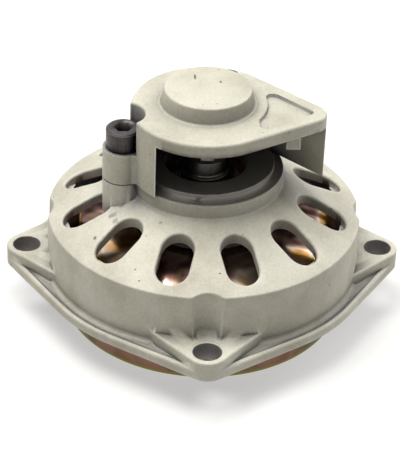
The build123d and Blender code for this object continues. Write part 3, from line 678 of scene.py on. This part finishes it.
# The turned faces, above the joint, in the seat and under the flange, are bare metal: greyer than
# the skin, with a dull sheen. Their grey is set dark as painted shade for the spigot under the
# cover. The tool's rings, 0.1 mm apart, are drawn 0.3 mm apart.
radius, height = polar(tree, place)
spigot_height = 0.0020
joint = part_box("housing")[1][2] - spigot_height
over_joint = add(tree, "ShaderNodeMapRange", {
    "Value": height, "From Min": joint - 0.0003, "From Max": joint - 0.0002,
})
seat_outside, seat_inside = 0.0178, 0.0177
seat = add(tree, "ShaderNodeMapRange", {
    "Value": radius, "From Min": seat_outside, "From Max": seat_inside,
})
faced_above, faced_full = 0.01256, 0.01252
under = add(tree, "ShaderNodeMapRange", {
    "Value": height, "From Min": faced_above, "From Max": faced_full,
})
turned = add(tree, "ShaderNodeMath", {0: over_joint.outputs[0], 1: seat.outputs[0]},
             operation="MAXIMUM")
turned = add(tree, "ShaderNodeMath", {0: turned.outputs[0], 1: under.outputs[0]},
             operation="MAXIMUM").outputs[0]
# Painted shade: the dark grey of the turned faces stands for the shade under the cover.
colour = add(tree, "ShaderNodeMix", {0: turned, 6: skin_colour.outputs[0], 7: linear("#77736E")},
             data_type="RGBA")
metal = add(tree, "ShaderNodeMapRange", {"Value": turned, "To Min": 0.10, "To Max": 1.0})
gloss = add(tree, "ShaderNodeMix", {0: turned, 2: satin.outputs[0], 3: 0.60}, data_type="FLOAT")
cut = turning(tree, place, feed=0.0003, depth=0.000004)
facing = add(tree, "ShaderNodeMix", {0: turned, 4: grain.outputs[0], 5: cut.outputs[0]},
             data_type="VECTOR")
tree.links.new(colour.outputs[2], surface.inputs["Base Color"])
tree.links.new(metal.outputs[0], surface.inputs["Metallic"])
tree.links.new(gloss.outputs[0], surface.inputs["Roughness"])
tree.links.new(facing.outputs[1], surface.inputs["Normal"])
skin("housing", blasted)

# Cover. A second casting of the same aluminium, blasted like the housing, that two screws pull down
# on the spigot. It is a little darker, and its cap has picked up three short nicks from handling.
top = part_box("sprocket_cover")[1][2]
cover_tones = ("#BEBAA8", "#D1CEBD", "#DEDBCB")
handled = casting("bead-blasted casting, handled", cover_tones, (
    ((-0.0038, 0.0062, top), (0.00035, 0.0019, 0.0004), 1.0),
    ((0.0038, 0.0033, top), (0.00035, 0.0009, 0.0004), 0.85),
    ((0.0035, 0.0111, top), (0.0005, 0.0004, 0.0004), 0.6),
))[0]
skin("sprocket_cover", handled)

# Floor, backdrop and light. A pale sheet under a white sweep, lit by one broad, slightly warm
# softbox above and a little to the left, so the sides fall off to grey as in a catalogue picture,
# and a white card at the right, behind, that lifts the shaded side.


def seen_directly(tree):
    """1 where a camera, glossy or transmission ray looks, and 0 for the light on the object."""
    ray = add(tree, "ShaderNodeLightPath").outputs
    seen = add(tree, "ShaderNodeMath", {0: ray["Is Camera Ray"], 1: ray["Is Glossy Ray"]},
               operation="MAXIMUM")
    return add(tree, "ShaderNodeMath", {0: seen.outputs[0], 1: ray["Is Transmission Ray"]},
               operation="MAXIMUM")


def aim(item, target):
    """Turns a lamp so that it shines at a point."""
    item.rotation_euler = (Vector(target) - item.location).to_track_quat("-Z", "Y").to_euler()


# Pale sheet: matt, with the object's shadow on it, and white further out.
bpy.ops.mesh.primitive_plane_add(size=6)
floor = bpy.context.object
floor.name = "floor"
pale, tree, surface, place = finish("pale sheet", {
    "Roughness": 0.9, "Emission Color": (1, 1, 1, 1),
}, "#CCCCCA")
away = polar(tree, place)[0]
shadow_edge, white_from = 0.15, 0.90
white = add(tree, "ShaderNodeMapRange", {
    "Value": away, "From Min": shadow_edge, "From Max": white_from, "To Min": 0.47, "To Max": 0.98,
})
glow = add(tree, "ShaderNodeMath", {0: seen_directly(tree).outputs[0], 1: white.outputs[0]},
           operation="MULTIPLY")
tree.links.new(glow.outputs[0], surface.inputs["Emission Strength"])
floor.data.materials.append(pale)

world = bpy.data.worlds.new("white sweep")
bpy.context.scene.world = world
world.use_nodes = True
tree = world.node_tree
backdrop = tree.nodes["Background"]
backdrop.inputs["Color"].default_value = (1, 1, 1, 1)
level = add(tree, "ShaderNodeMapRange", {
    "Value": seen_directly(tree).outputs[0], "To Min": 0.03, "To Max": 1.0,
})
tree.links.new(level.outputs[0], backdrop.inputs["Strength"])

lamp = bpy.data.lights.new("overhead softbox", "AREA")
lamp.shape = "RECTANGLE"
lamp.size = 0.46
lamp.size_y = 0.46
lamp.energy = 5.15
lamp.color = (1.0, 0.99, 0.96)
softbox = bpy.data.objects.new("overhead softbox", lamp)
bpy.context.scene.collection.objects.link(softbox)
softbox.location = (-0.17, 0.03, 0.68)
aim(softbox, (0, 0, 0.04))

card = bpy.data.lights.new("white card", "AREA")
card.size = 0.40
card.energy = 1.4
reflector = bpy.data.objects.new("white card", card)
bpy.context.scene.collection.objects.link(reflector)
reflector.location = (0.45, 0.22, 0.34)
aim(reflector, (0, 0, 0.03))

# Camera. A long lens in front, slightly to the left and looking down by a third of a right angle,
# as the photograph was taken.
view = bpy.data.cameras.new("camera")
view.sensor_fit = "VERTICAL"
view.sensor_height = 36.0
view.lens = 147.64
camera = bpy.data.objects.new("camera", view)
bpy.context.scene.collection.objects.link(camera)
viewpoint = (-0.02214, -0.48842, 0.34812)
azimuth, elevation, roll = math.radians(-2.48), math.radians(33.48), math.radians(2.0)
camera.matrix_world = (
    Matrix.Translation(viewpoint)
    @ Matrix.Rotation(azimuth, 4, "Z")
    @ Matrix.Rotation(math.pi / 2 - elevation, 4, "X")
    @ Matrix.Rotation(roll, 4, "Z")
)
bpy.context.scene.camera = camera
bpy.context.scene.view_settings.view_transform = "Standard"
